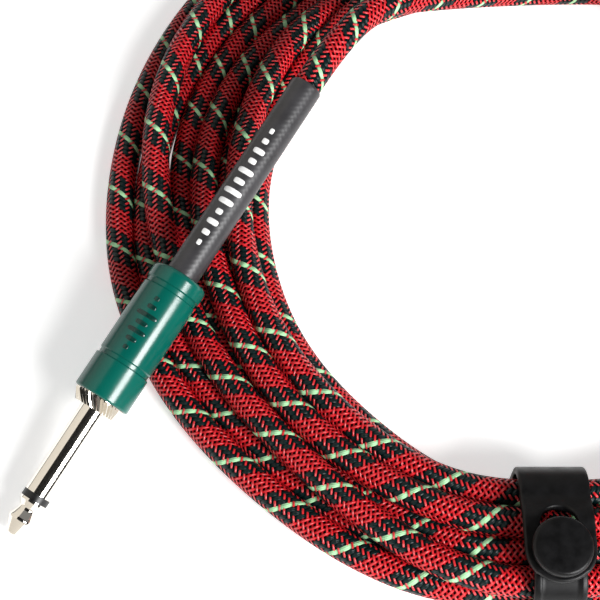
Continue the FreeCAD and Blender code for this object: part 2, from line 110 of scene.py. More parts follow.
# the cord is one line from boot to boot, and this is its route
cordSizes = {
    "across": 0.0068,
    "length": 4.20,
    "step": 0.0034,  # between the points that are settled
    "keepEvery": 4,  # every fourth settled point is a control point, about 38 a turn
    "joinAngle": -153.0,  # degrees round the coil from the tie, clockwise seen from above
    "leaveAngle": 7 * 360 + 108.0,
    # the largest and the smallest turn: middle x, middle y, radius
    "outerTurn": (-0.0010, 0.0020, 0.0935),
    "innerTurn": (0.0020, -0.0120, 0.0674),
    # one row for each of the eight passes under the tie, in the order they are wound: (y, z)
    # under the tie, then for 45 degrees to the left, 107 degrees and the far side the share of
    # the way from the largest turn to the smallest, and the height
    "lanes": [
        ((-0.0813, 0.0120), (0.92, 0.0105), (0.86, 0.0100), (0.79, 0.0100)),
        ((-0.0870, 0.0051), (0.72, 0.0036), (0.72, 0.0036), (0.95, 0.0036)),
        ((-0.0879, 0.0134), (0.58, 0.0105), (0.60, 0.0100), (0.60, 0.0045)),
        ((-0.0938, 0.0051), (0.12, 0.0035), (0.22, 0.0036), (0.24, 0.0036)),
        ((-0.1006, 0.0051), (0.00, 0.0095), (0.00, 0.0040), (0.00, 0.0036)),
        ((-0.0998, 0.0118), (0.30, 0.0100), (0.13, 0.0100), (0.13, 0.0095)),
        ((-0.0936, 0.0106), (0.42, 0.0036), (0.42, 0.0036), (0.42, 0.0040)),
        ((-0.0808, 0.0051), (1.00, 0.0038), (0.95, 0.0040), (0.95, 0.0040)),
    ],
    "places": [0, 45, 107, 180, 253, 315],  # the angles that a row's values are set at
    "meanRadius": 0.082,
    "soften": 7.0,  # points over which the values run into each other
    "fan": 22.0,  # degrees from the tie within which the turns spread
    "tieHold": 0.009,
    "tieFade": 0.014,
    # how the turns settle: rounds, how far they sink in one, how much of an overlap is undone,
    # how firmly the tie holds, how stiff the cord is and how it keeps to where it was laid
    "rounds": 260,
    "sag": 0.0001,
    "spacing": 1.005,
    "push": 1.2,
    "plugPush": 2.0,
    "grip": 0.35,
    "stiffness": 0.25,
    "homing": 0.01,
    "spread": 2.2,
    "bendReach": 2.5,
    "endPoints": 10,
    "air": 0.00015,
    "leadSpacing": 0.97,  # a lead may be this near, in cord widths
    "tubeStep": 0.0025,
    "sides": 24,
    # the cord was laid without care, so the braid rolls slowly one way and the other along it:
    # waves of so many turns, so many radians a metre, and where they start
    "rolls": [(0.9, 7.3, 0.0), (0.7, 3.1, 1.7)],
}
leadA = [
    (-0.0335, 0.0365, 0.0285), (-0.0170, 0.0445, 0.0205), (0.0015, 0.0520, 0.0120),
    (0.0200, 0.0570, 0.0060),
]
leadB = [
    (-0.0590, 0.0230, 0.0042), (-0.0505, 0.0360, 0.0075), (-0.0380, 0.0465, 0.0135),
    (-0.0210, 0.0530, 0.0215), (-0.0030, 0.0515, 0.0260), (0.0150, 0.0445, 0.0270),
    (0.0325, 0.0355, 0.0275),
]


def smoothAlong(values, reach):
    # each point becomes the bell-weighted mean of its neighbours along the cord
    span = np.arange(-3 * math.ceil(reach), 3 * math.ceil(reach) + 1)
    bell = np.exp(-0.5 * (span / reach) ** 2)
    bell /= bell.sum()
    padded = np.pad(values, ((len(span) // 2,) * 2, (0, 0)), mode="edge")
    return np.stack([np.convolve(column, bell, "valid") for column in padded.T], axis=1)


def laidTurns(s):
    # a turn is a circle part way between the largest and the smallest; the share of the way and
    # the height run smoothly between the rows of the table, and near the tie, by a bell curve of
    # the angle, the cord is drawn to its lane there
    count = int(math.radians(s["leaveAngle"] - s["joinAngle"]) * s["meanRadius"] / s["step"])
    angle = np.linspace(s["joinAngle"], s["leaveAngle"], count)
    lanes = np.array(s["lanes"])
    places = np.array(s["places"])
    near = lanes[:, 1]
    side = lanes[:, 2]
    far = lanes[:, 3]
    onward = np.roll(lanes, -1, axis=0)
    stops = np.stack([near, near, side, far, onward[:, 2], onward[:, 1]], axis=1)
    knots = (places[None] + 360 * np.arange(len(lanes))[:, None]).ravel()
    start = np.array([[-places[2], *side[0]], [-places[1], *near[0]]])
    knots = np.concatenate([start[:, 0], knots])
    values = np.vstack([start[:, 1:], stops.reshape(-1, 2)])
    rough = np.stack([np.interp(angle, knots, column) for column in values.T], axis=1)
    share, height = smoothAlong(rough, s["soften"]).T
    outer, inner = np.array(s["outerTurn"]), np.array(s["innerTurn"])
    ring = outer + share[:, None] * (inner - outer)
    turn = np.radians(angle)
    x = ring[:, 0] - ring[:, 2] * np.sin(turn)
    y = ring[:, 1] - ring[:, 2] * np.cos(turn)
    lane = lanes[np.clip(np.round(angle / 360).astype(int), 0, len(lanes) - 1), 0]
    fromTie = (angle + 180) % 360 - 180
    hold = np.exp(-(fromTie / s["fan"]) ** 2)[:, None]
    low = np.stack([y, height], axis=1)
    return angle, np.column_stack([x, low + hold * (lane - low)]), lane


def rodsToClear(s):
    # the plugs and the leads' first runs as thick rods: two ends and how near the cord may come
    half = s["across"] / 2
    rods = []
    for mark, lead in (("_a", leadA), ("_b", leadB[::-1])):
        stops = [0.0, plugSizes["pinEnd"], plugSizes["barrelEnd"], plugSizes["bootEnd"]]
        reaches = [plugSizes["pinRadius"], plugSizes["barrelRadius"], plugSizes["bootRadius"]]
        for start, end, reach in zip(stops, stops[1:], reaches):
            rods.append((stationPoint(mark, start), stationPoint(mark, end), reach + half + s["air"]))
        run = [stationPoint(mark, plugSizes["bootEnd"])]
        run += [stationPoint(mark, plugSizes["bootEnd"] + plugSizes["exitRun"])]
        run += [np.array(point) for point in lead]
        rods += [(a, b, s["across"] * s["leadSpacing"]) for a, b in zip(run, run[1:])]
    return rods


def pushFromRods(points, rods):
    # a point nearer to a rod's middle line than its reach moves straight away from it
    move = np.zeros_like(points)
    for start, end, reach in rods:
        run = end - start
        share = np.clip(((points - start) @ run) / (run @ run), 0, 1)[:, None]
        off = points - (start + share * run)
        gap = np.linalg.norm(off, axis=1)[:, None]
        move += np.where(gap < reach, off / np.maximum(gap, 1e-6) * (reach - gap), 0)
    return move


def pushApart(points, gap, skip):
    # any two points closer than the gap move apart by half of what they overlap
    square = (points * points).sum(axis=1)
    apart = square[:, None] + square[None] - 2 * points @ points.T
    first, second = np.nonzero(np.triu(apart < gap * gap, skip))
    off = points[first] - points[second]
    distance = np.linalg.norm(off, axis=1)[:, None]
    shift = off / np.maximum(distance, 1e-6) * (gap - distance) / 2
    move = np.zeros_like(points)
    touched = np.zeros(len(points))
    np.add.at(move, first, shift)
    np.add.at(move, second, -shift)
    np.add.at(touched, first, 1)
    np.add.at(touched, second, 1)
    return move / np.maximum(touched, 1)[:, None]


def settleTurns(s):
    # the turns sink, push each other and the plugs' rods away, and stay held under the tie
    angle, points, lanes = laidTurns(s)
    start = points.copy()
    rods = rodsToClear(s)
    fromTie = np.abs(np.radians((angle + 180) % 360 - 180)) * s["outerTurn"][2]
    hold = np.clip(1 - (fromTie - s["tieHold"]) / s["tieFade"], 0, 1)[:, None]
    fromEnd = np.minimum(np.arange(len(points)), np.arange(len(points))[::-1])
    free = np.clip(fromEnd / s["endPoints"], 0, 1)[:, None]
    skip = int(3 * s["across"] / s["step"])
    for turn in range(s["rounds"]):
        move = pushApart(points, s["across"] * s["spacing"], skip) * s["push"]
        move[:, 2] -= s["sag"] * (1 - turn / s["rounds"])
        move += s["plugPush"] * pushFromRods(points, rods)
        move[:, 2] += np.maximum(s["across"] / 2 - points[:, 2], 0)
        points = points + smoothAlong(move, s["spread"]) * free
        want = np.column_stack([points[:, 0], lanes])
        points = points + s["grip"] * hold * (want - points)
        bent = points - start
        points = points + s["stiffness"] * free * (1 - hold) * (smoothAlong(bent, s["bendReach"]) - bent)
        pull = start - points
        pull[:, 2] = 0
        points = points + s["homing"] * free * pull
        points[:, 2] = np.maximum(points[:, 2], s["across"] / 2)
    return points


def nurbsLine(name, points):
    # the points of one NURBS curve through its control points, read from Blender
    curve = bpy.data.curves.new(name, "CURVE")
    curve.dimensions = "3D"
    spline = curve.splines.new("NURBS")
    spline.points.add(len(points) - 1)
    spline.points.foreach_set("co", np.column_stack([points, np.ones(len(points))]).ravel())
    spline.order_u = 3
    spline.use_endpoint_u = True
    spline.resolution_u = 6
    holder = bpy.data.objects.new(name, curve)
    mesh = bpy.data.meshes.new_from_object(holder)
    line = np.zeros(len(mesh.vertices) * 3)
    mesh.vertices.foreach_get("co", line)
    bpy.data.objects.remove(holder)
    bpy.data.curves.remove(curve)
    bpy.data.meshes.remove(mesh)
    return line.reshape(-1, 3)


def evenLine(line, spacing):
    # the same line with its points an even distance apart
    along = np.concatenate([[0], np.cumsum(np.linalg.norm(np.diff(line, axis=0), axis=1))])
    stops = np.linspace(0, along[-1], int(round(along[-1] / spacing)) + 1)
    return np.stack([np.interp(stops, along, column) for column in line.T], axis=1), stops


# meshes are made from grids of points
def addPiece(name, vertices, faces, material, corners=None, smooth=True):
    mesh = bpy.data.meshes.new(name)
    mesh.from_pydata(vertices, [], faces)
    mesh.polygons.foreach_set("use_smooth", np.full(len(mesh.polygons), smooth))
    if corners is not None:
        layer = mesh.uv_layers.new(name="braidMap")
        layer.data.foreach_set("uv", np.asarray(corners, np.float32).ravel())
    mesh.materials.append(material)
    mesh.update()
    piece = bpy.data.objects.new(name, mesh)
    bpy.context.scene.collection.objects.link(piece)
    return piece


def gridFaces(rows, columns, first=0, roundRows=False):
    # four-sided faces of a grid whose columns close on themselves, and whose rows may too
    index = np.arange(rows * columns).reshape(rows, columns) + first
    if roundRows:
        index = np.vstack([index, index[:1]])
    right = np.roll(index, -1, axis=1)
    return np.stack([index[:-1], right[:-1], right[1:], index[1:]], axis=-1).reshape(-1, 4)


def addTube(name, line, along, radius, sides, material, lead, twist):
    # ring centre + radius * (upward * cos + level * sin) of the angle, the ring square to the line;
    # the map runs round once and along in leads of the braid
    way = np.gradient(line, axis=0)
    way /= np.linalg.norm(way, axis=1)[:, None]
    level = np.cross(way, (0.0, 0.0, 1.0))
    level /= np.linalg.norm(level, axis=1)[:, None]
    upward = np.cross(level, way)
    turn = np.arange(sides) / sides
    swing = 2 * np.pi * turn[None, :, None]
    grid = line[:, None] + radius * (upward[:, None] * np.cos(swing) + level[:, None] * np.sin(swing))
    rows = len(line)
    quads = gridFaces(rows, sides).tolist()
    caps = [list(range(sides))[::-1], list(range((rows - 1) * sides, rows * sides))]
    low = np.broadcast_to(turn[None], (rows - 1, sides)) + twist[:-1, None]
    high = np.broadcast_to(turn[None], (rows - 1, sides)) + twist[1:, None]
    start = np.broadcast_to((along[:-1] / lead)[:, None], low.shape)
    end = np.broadcast_to((along[1:] / lead)[:, None], low.shape)
    step = 1 / sides
    corners = np.stack([
        np.stack([low, start], axis=-1), np.stack([low + step, start], axis=-1),
        np.stack([high + step, end], axis=-1), np.stack([high, end], axis=-1),
    ], axis=2).reshape(-1, 2)
    corners = np.vstack([corners, np.zeros((2 * sides, 2))])
    return addPiece(name, grid.reshape(-1, 3).tolist(), quads + caps, material, corners)


def plugFrame(mark):
    # unit vectors square to the plug's axis: level, and the one nearest to straight up
    tail = marks[mark][1]
    level = np.cross(tail, (0.0, 0.0, 1.0))
    level /= np.linalg.norm(level)
    return level, np.cross(level, tail)


def onAxis(mark, station, radius, angle):
    # tip + tail * station + radius * (upward * cos + level * sin) of the angle from the top
    tip, tail = marks[mark]
    level, upward = plugFrame(mark)
    station, radius, angle = np.broadcast_arrays(station, radius, angle)
    spoke = upward * np.cos(angle)[..., None] + level * np.sin(angle)[..., None]
    return tip + tail * station[..., None] + radius[..., None] * spoke


def linear(code):
    # an sRGB hex colour as the linear values that the shaders want
    parts = np.array([int(code[i:i + 2], 16) for i in (1, 3, 5)]) / 255
    parts = np.where(parts <= 0.04045, parts / 12.92, ((parts + 0.055) / 1.055) ** 2.4)
    return (*parts.tolist(), 1.0)


def newMaterial(name, wire, **values):
    # a Principled material; wire gets the function that adds a node, and the shader
    material = bpy.data.materials.new(name)
    material.use_nodes = True
    tree = material.node_tree
    shader = tree.nodes["Principled BSDF"]

    def add(kind, *inputs, out=0, sockets=(), **settings):
        # one node with its settings; a value that is another node's output is linked
        node = tree.nodes.new("ShaderNode" + kind)
        for key, value in settings.items():
            setattr(node, key, value)
        for key, value in [*enumerate(inputs), *dict(sockets).items()]:
            if isinstance(value, bpy.types.NodeSocket):
                tree.links.new(value, node.inputs[key])
            else:
                node.inputs[key].default_value = value
        return node.outputs[out]

    for key, value in values.items():
        shader.inputs[key.replace("_", " ")].default_value = value
    for key, value in wire(add).items():
        tree.links.new(value, shader.inputs[key.replace("_", " ")])
    return material


braidLook = {
    "carriers": 12,  # each way round
    "lead": 0.0156,
    "redWidth": 0.25,  # half of a thin yarn's width, as a share of a carrier's
    "greenWidth": 0.54,
    "red": "#C80E19",
    "redLight": "#F22832",
    "green": "#041A1B",
    "pale": "#B4EBB4",
    # painted shade: the near black that low-lying yarn is painted towards in the weave's gaps
    "gap": "#060001",
}


def wireBraid(add):
    # Polyester yarn braided over two and under one: a light, slightly shiny thread, painted
    #  darker down to near black where a yarn dips low, as painted shade in the weave's gaps. a and b
    #  count carriers along the two helices, and the higher yarn is what shows.
    s = braidLook
    place = add("SeparateXYZ", add("UVMap", uv_map="braidMap"))
    across = place
    along = place.node.outputs[1]
    rightHand = add("Math", across, along, operation="ADD")
    leftHand = add("Math", across, along, operation="SUBTRACT")
    a = add("Math", rightHand, s["carriers"], operation="MULTIPLY")
    b = add("Math", leftHand, s["carriers"], operation="MULTIPLY")
    cellA = add("Math", a, operation="FLOOR")
    cellB = add("Math", b, operation="FLOOR")
    partA = add("Math", a, operation="FRACT")
    partB = add("Math", b, operation="FRACT")
    order = add("Math", add("Math", cellA, cellB, operation="ADD"), 3.0, operation="FLOORED_MODULO")
    carrier = add("Math", cellA, float(s["carriers"]), operation="FLOORED_MODULO")
    pale = add("Math", carrier, 0.0, 0.5, operation="COMPARE")
    fromRed = add("Math", add("Math", carrier, 6.0, operation="SUBTRACT"), operation="ABSOLUTE")
    green = add("Math", fromRed, 2.5, operation="GREATER_THAN")
    widthA = add("MapRange", green, 0.0, 1.0, s["redWidth"], s["greenWidth"])

    def yarn(part, width, along, phase):
        # half-round across the yarn, and a wave along it that is high over two and low under one
        side = add("Math", add("Math", part, 0.5, operation="SUBTRACT"), width, operation="DIVIDE")
        crown = add("Math", 1.0, add("Math", side, side, operation="MULTIPLY"), operation="SUBTRACT")
        inside = add("Math", add("Math", crown, 0.0, operation="MAXIMUM"), operation="SQRT")
        bare = add("Math", add("Math", crown, 0.0, operation="LESS_THAN"), 3.0, operation="MULTIPLY")
        where = add("Math", add("Math", order, along, operation="ADD"), 1.0, operation="SUBTRACT")
        wave = add("Math", add("Math", where, 2 * math.pi / 3, operation="MULTIPLY"), operation="COSINE")
        level = add("Math", wave, phase, operation="MULTIPLY")
        height = add("Math", add("Math", level, inside, operation="ADD"), bare, operation="SUBTRACT")
        return height, side

    heightA, sideA = yarn(partA, widthA, partB, 0.75)
    heightB, sideB = yarn(partB, s["redWidth"], partA, -0.75)
    top = add("Math", heightA, heightB, operation="GREATER_THAN")
    height = add("Math", add("Math", heightA, heightB, operation="MAXIMUM"), -1.0, operation="MAXIMUM")
    strands = add("Mix", sockets={0: top, 2: sideB, 3: sideA})
    ply = add("Math", add("Math", strands, 9.0, operation="MULTIPLY"), operation="SINE")
    speck = add("TexNoise", add("TexCoord", out=3), sockets={"Scale": 900.0, "Detail": 3.0})
    redTone = add("Mix", data_type="RGBA", out=2,
                  sockets={0: speck, 6: linear(s["red"]), 7: linear(s["redLight"])})
    greens = add("Mix", data_type="RGBA", out=2,
                 sockets={0: pale, 6: linear(s["green"]), 7: linear(s["pale"])})
    setA = add("Mix", data_type="RGBA", out=2, sockets={0: green, 6: redTone, 7: greens})
    thread = add("Mix", data_type="RGBA", out=2, sockets={0: top, 6: redTone, 7: setA})
    # painted shade: the lower a yarn lies, the nearer its colour comes to the gap's near black
    depth = add("MapRange", height, -0.35, 0.75, 0.0, 1.0, clamp=True)
    shine = add("MapRange", height, 0.6, 1.5, 0.02, 0.8, clamp=True)
    dull = add("MapRange", add("Math", top, green, operation="MULTIPLY"), 0.0, 1.0, 1.0, 0.35)
    shine = add("Math", shine, dull, operation="MULTIPLY")
    colour = add("Mix", data_type="RGBA", out=2,
                 sockets={0: depth, 6: linear(s["gap"]), 7: thread})
    relief = add("Math", height, add("Math", ply, 0.12, operation="MULTIPLY"), operation="ADD")
    bump = add("Bump", sockets={"Strength": 0.9, "Distance": 0.00022, "Height": relief})
    return {"Base_Color": colour, "Normal": bump, "Specular_IOR_Level": shine}


def wireHeatShrink(add):
    # Polyolefin sleeve shrunk over the braid: satin dark grey, with faint rubbed patches
    place = add("TexCoord", out=3)
    cloud = add("TexNoise", place, sockets={"Scale": 160.0, "Detail": 4.0})
    grain = add("TexNoise", place, sockets={"Scale": 5200.0, "Detail": 2.0})
    colour = add("MapRange", cloud, 0.3, 0.7, 0.0, 1.0)
    tone = add("Mix", data_type="RGBA", out=2,
               sockets={0: colour, 6: linear("#2C2B2D"), 7: linear("#3A393C")})
    rough = add("MapRange", cloud, 0.3, 0.7, 0.36, 0.46)
    bump = add("Bump", sockets={"Strength": 0.25, "Distance": 0.00003, "Height": grain})
    return {"Base_Color": tone, "Roughness": rough, "Normal": bump}


def wireEnamel(add):
    # Stoved gloss enamel on turned brass: deep green with a faint orange peel 1.5 mm across
    place = add("TexCoord", out=3)
    peel = add("TexNoise", place, sockets={"Scale": 700.0, "Detail": 1.0})
    cloud = add("TexNoise", place, sockets={"Scale": 90.0, "Detail": 3.0})
    tone = add("Mix", data_type="RGBA", out=2,
               sockets={0: cloud, 6: linear("#004F47"), 7: linear("#006456")})
    rough = add("MapRange", cloud, 0.3, 0.7, 0.16, 0.24)
    bump = add("Bump", sockets={"Strength": 0.10, "Distance": 0.00004, "Height": peel})
    return {"Base_Color": tone, "Roughness": rough, "Normal": bump}


def wireNickel(mark):
    # Bright nickel plate over turned brass: a warm mirror with fine lines round the axis
    def wire(add):
        place = add("TexCoord", out=3)
        station = add("VectorMath", place, tuple(marks[mark][1]), operation="DOT_PRODUCT", out=1)
        lines = add("TexNoise", noise_dimensions="1D",
                    sockets={"W": station, "Scale": 9000.0, "Detail": 2.0})
        cloud = add("TexNoise", place, sockets={"Scale": 260.0, "Detail": 4.0})
        tone = add("Mix", data_type="RGBA", out=2,
                   sockets={0: cloud, 6: linear("#E6E1D8"), 7: linear("#EFEAE1")})
        rough = add("MapRange", cloud, 0.3, 0.7, 0.05, 0.12)
        bump = add("Bump", sockets={"Strength": 0.06, "Distance": 0.00002, "Height": lines})
        return {"Base_Color": tone, "Roughness": rough, "Normal": bump}
    return wire


def wirePlain(dark, light, scale, rough, relief=0.00003, strength=0.2):
    # two close tones in soft patches, a roughness that follows them and a fine grain
    def wire(add):
        place = add("TexCoord", out=3)
        cloud = add("TexNoise", place, sockets={"Scale": scale, "Detail": 5.0})
        grain = add("TexNoise", place, sockets={"Scale": scale * 14, "Detail": 2.0})
        share = add("MapRange", cloud, 0.35, 0.65, 0.0, 1.0)
        tone = add("Mix", data_type="RGBA", out=2,
                   sockets={0: share, 6: linear(dark), 7: linear(light)})
        gloss = add("MapRange", cloud, 0.35, 0.65, rough - 0.06, rough + 0.06)
        bump = add("Bump", sockets={"Strength": strength, "Distance": relief, "Height": grain})
        return {"Base_Color": tone, "Roughness": gloss, "Normal": bump}
    return wire


tweedBraid = newMaterial("polyesterTweedBraid", wireBraid, Roughness=0.34)
heatShrink = newMaterial("polyolefinHeatShrink", wireHeatShrink)
# painted shade: the raised marks take a darker green that stands in for the shading of an engraved mark,
# with a slightly rougher gloss than the enamel
reliefShadeEnamel = newMaterial("reliefShadeGreenEnamel", wirePlain("#002A25", "#003730", 700.0, 0.24))
# pad-printed ink: matt and opaque white
whiteInk = newMaterial("whitePadInk", wirePlain("#F2F1EE", "#FFFFFF", 900.0, 0.5))
greenEnamel = newMaterial("stovedGreenEnamel", wireEnamel, Specular_IOR_Level=0.42)
# moulded rubber: soft black with a fine tool grain and little gloss
tieRubber = newMaterial("mouldedTieRubber", wirePlain("#060607", "#0C0C0E", 420.0, 0.42, 0.00004, 0.3),
                        Specular_IOR_Level=0.25)
finishes = {
    "nickel_plate_a": newMaterial("brightNickelPlateA", wireNickel("_a"), Metallic=1.0),
    "nickel_plate_b": newMaterial("brightNickelPlateB", wireNickel("_b"), Metallic=1.0),
    # acetal: dense black plastic with a low sheen, turned with the pin
    "black_insulator": newMaterial("turnedBlackAcetal", wirePlain("#0C0C0D", "#19191A", 500.0, 0.4)),
    # nylon: milky white, slightly waxy
    "white_insulator": newMaterial("whiteNylon", wirePlain("#DAD6CB", "#ECE9E0", 400.0, 0.45)),
    # phenolic paper board: brown, with a fine speckle and a dull cut face
    "phenolic_board": newMaterial("phenolicPaperBoard", wirePlain("#5A3A1E", "#7A5330", 900.0, 0.55)),
    # tinned brass: a grey, slightly milky metal with stamping marks
    "tinned_brass": newMaterial("tinnedBrass", wirePlain("#A9A79F", "#C2C0B8", 600.0, 0.3),
                                Metallic=1.0),
    # solder: bright where it flowed, duller where it froze last
    "solder_alloy": newMaterial("frozenSolder", wirePlain("#B4B6B8", "#CFD1D3", 900.0, 0.24),
                                Metallic=1.0),
    # copper wire: red metal, browned in places
    "bare_copper": newMaterial("bareCopperWire", wirePlain("#A85A3C", "#CC7A55", 900.0, 0.35),
                               Metallic=1.0),
    # polythene: soft translucent white
    "core_polythene": newMaterial("corePolythene", wirePlain("#CFCFC8", "#E4E4DE", 500.0, 0.5)),
    # PVC: dull black skin with a faint drag grain
    "pvc_jacket": newMaterial("blackPvcJacket", wirePlain("#141414", "#202020", 600.0, 0.5)),
    # clear PVC liner: thin, glossy and faintly smoky
    "clear_liner": newMaterial("clearLiner", wirePlain("#D9DDDD", "#EEF1F1", 300.0, 0.16),
                               Transmission_Weight=0.9, IOR=1.5),
    "heat_shrink": heatShrink,
    "green_enamel": greenEnamel,
    "tie_rubber": tieRubber,
    "tweed_braid": tweedBraid,
}


def finishNodes():
    # every CAD node takes the finish that its record's slot names
    for name, node in frame["nodes"].items():
        slotName = node.data.materials[0].name.split(".")[0]
        if slotName == "nickel_plate":
            slotName += name[-2:]
        node.data.materials[0] = finishes[slotName]


finishNodes()
print("materials made")


# the cord's tube follows the route
def addCord(s):
    exits = {}
    for mark in marks:
        end = stationPoint(mark, plugSizes["bootEnd"])
        out = stationPoint(mark, plugSizes["bootEnd"] + plugSizes["exitRun"])
        exits[mark] = [end, out]
    turns = settleTurns(s)[::s["keepEvery"]]
    route = np.vstack([exits["_a"], leadA, turns, leadB, exits["_b"][::-1]])
    line, along = evenLine(nurbsLine("cordLine", route), s["tubeStep"])
    twist = sum(size * np.sin(along * rate + first) for size, rate, first in s["rolls"])
    cord = addTube("tweedCord", line, along, s["across"] / 2, s["sides"], tweedBraid,
                   braidLook["lead"], twist)
    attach(cord, "cable")
    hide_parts("coil", "lead_a", "lead_b")
    print("cord laid,", round(float(along[-1]), 3), "m")
    return cord


addCord(cordSizes)


# a boot is shrunk over the end of the braid, and both are sleeves about the plug's axis
bootSizes = {
    "braidStart": 0.057,
    "jacketRadius": 0.0027,
    "braidRadius": 0.0034,
    "braidRows": 60,
    "braidSides": 48,
    "rows": 250,
    "sides": 72,
    "ripple": 0.000011,
    "lip": 0.00025,
    "lipLength": 0.0006,
}


def addSleeve(name, mark, stations, outer, inner, sides, material):
    # outer wall from front to rear, then the inner wall back: a closed loop turned about the axis
    profile = np.concatenate([stations, stations[::-1]])
    around = np.arange(sides) / sides * 2 * np.pi
    wall = np.vstack([outer, np.full((len(stations), sides), inner)])
    grid = onAxis(mark, profile[:, None], wall, around[None])
    faces = gridFaces(*grid.shape[:2], roundRows=True)
    turn = np.arange(sides) / sides
    ends = np.append(profile, profile[0])
    a, b = np.meshgrid(ends / braidLook["lead"], turn, indexing="ij")
    step = 1 / sides
    corners = np.stack([
        np.stack([b[:-1], a[:-1]], -1), np.stack([b[:-1] + step, a[:-1]], -1),
        np.stack([b[1:] + step, a[1:]], -1), np.stack([b[1:], a[1:]], -1),
    ], axis=2).reshape(-1, 2)
    return addPiece(name, grid.reshape(-1, 3).tolist(), faces.tolist(), material, corners)


def addBoots(s):
    for mark in marks:
        stations = np.linspace(s["braidStart"], plugSizes["bootEnd"], s["braidRows"])
        outer = np.full((s["braidRows"], s["braidSides"]), s["braidRadius"])
        braid = addSleeve("braidEnd" + mark, mark, stations, outer, s["jacketRadius"],
                          s["braidSides"], tweedBraid)
        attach(braid, "cable")
        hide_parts("braid" + mark)
        # the boot shows the weave under it as a faint ripple, and thins to a lip at both ends
        stations = np.linspace(plugSizes["bootStart"], plugSizes["bootEnd"], s["rows"])
        around = np.arange(s["sides"]) / s["sides"]
        turns = stations[:, None] / braidLook["lead"]
        carriers = 2 * np.pi * braidLook["carriers"]
        weave = np.cos(carriers * (around[None] + turns)) + np.cos(carriers * (around[None] - turns))
        fromEnd = np.minimum(stations - stations[0], stations[-1] - stations)[:, None]
        edge = np.clip(1 - fromEnd / s["lipLength"], 0, 1) ** 2
        outer = plugSizes["bootRadius"] + s["ripple"] * weave * (1 - edge) - s["lip"] * edge
        boot = addSleeve("bootSleeve" + mark, mark, stations, outer, s["braidRadius"], s["sides"],
                         heatShrink)
        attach(boot, "cable")
        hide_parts("boot" + mark)


addBoots(bootSizes)
print("boots made")


# a row of sound bars marks each plug: printed on the boot, raised on the barrel
markSizes = {
    "printStart": 0.0765,
    "printPitch": 0.0028,
    "printHeights": [1.1, 1.9, 3.0, 1.7, 3.9, 4.8, 2.8, 4.1, 2.0, 3.0, 1.6, 1.1],  # mm, round the boot
    "printWidth": 0.0014,
    "printRaise": 0.00006,
    "printLift": 0.00003,
    "printAngle": 0.05,
    "reliefStart": 0.0475,
    "reliefPitch": 0.0021,
    "reliefHeights": [1.2, 2.6, 4.6, 3.0, 5.4, 2.2, 1.2],
    "reliefWidth": 0.0011,
    "reliefRaise": 0.00016,
    "barrelRadius": 0.0066,
    "barSteps": 9,
    "barSides": 24,
    "squareness": 0.55,  # 1 is an ellipse, 0 a rectangle
}


def addBars(name, mark, body, start, pitch, heights, width, raised, radius, angle, material):
    # each bar is a rounded pill: a squared-off ellipsoid laid on the cylinder, long way round it
    up = np.linspace(0, np.pi, markSizes["barSteps"])
    around = np.arange(markSizes["barSides"]) / markSizes["barSides"] * 2 * np.pi
    soft = markSizes["squareness"]
    ring = np.sin(up)[:, None] ** 0.5
    endways = np.sign(np.cos(around)) * np.abs(np.cos(around)) ** soft
    sideways = np.sign(np.sin(around)) * np.abs(np.sin(around)) ** soft
    tall = np.array(heights)[:, None, None] / 2000
    middles = start + pitch * np.arange(len(heights))[:, None, None]
    station = middles + width / 2 * ring * endways[None]
    swing = angle + (tall * ring * sideways[None]) / radius
    height = radius + raised * np.cos(up)[None, :, None] + 0 * station
    grid = onAxis(mark, station, height, swing)
    vertices = grid.reshape(-1, 3)
    rows, sides = grid.shape[1:3]
    faces = []
    for bar in range(len(heights)):
        first = bar * rows * sides
        faces += gridFaces(rows, sides, first).tolist()
        faces += [list(range(first, first + sides))[::-1]]
        faces += [list(range(first + (rows - 1) * sides, first + rows * sides))]
    piece = addPiece(name, vertices.tolist(), faces, material)
    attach(piece, body)
    return piece


def addMarks(s):
    for mark in marks:
        lean = s["printAngle"] if mark == "_a" else -s["printAngle"]
        inked = addBars("bootPrint" + mark, mark, "cable", s["printStart"], s["printPitch"],
                        s["printHeights"], s["printWidth"], s["printRaise"],
                        plugSizes["bootRadius"] + s["printLift"], lean, whiteInk)
        # the raised bars on the barrel are painted the darker green as painted shade
        relief = addBars("barrelRelief" + mark, mark, "barrel" + mark, s["reliefStart"],
                         s["reliefPitch"], s["reliefHeights"], s["reliefWidth"], s["reliefRaise"],
                         s["barrelRadius"], lean, reliefShadeEnamel)


addMarks(markSizes)
print("marks made")


# the rubber tie: a band round the coil, an eyelet end and its button
tieSizes = {
    "outerY": -0.1057,
    "innerY": -0.0750,
    "height": 0.0190,
    "corner": 0.007,
    "thick": 0.0017,
    "wide": 0.015,
    "padWide": 0.011,
    "padEndY": -0.0893,
    "joinZ": 0.007,  # the eyelet end starts here, on the inner side
    "rim": 0.0004,
    "rimWide": 0.0013,
    "rimSlope": 0.0004,
    "stemZ": (0.005, 0.009),  # between these heights the outer side widens from pad to strap
    "stemY": -0.085,
    "acrossSquare": 0.35,
    "depthSquare": 0.45,
    "buttonY": -0.0951,
    "neckRadius": 0.0031,
    "headRadius": 0.0063,
    "headHeight": 0.0024,
    "lift": 0.0003,
    "rampStart": -0.0830,
    "rampEnd": -0.0885,
    "tabEndY": -0.1021,
    "slotHalf": 0.004,
    "slotInner": -0.0861,
    "slotOuter": -0.0988,
    "edgeRound": 0.0005,
    "blendY": (-0.0795, -0.0855),  # the eyelet end bends between these
    "blendZ": 0.0181,
    "headRound": 0.0009,
    "buttonSides": 72,
}


def arc(middle, radius, start, end, count):
    turn = np.radians(np.linspace(start, end, count))
    return np.stack([middle[0] + radius * np.cos(turn), middle[1] + radius * np.sin(turn)], axis=1)


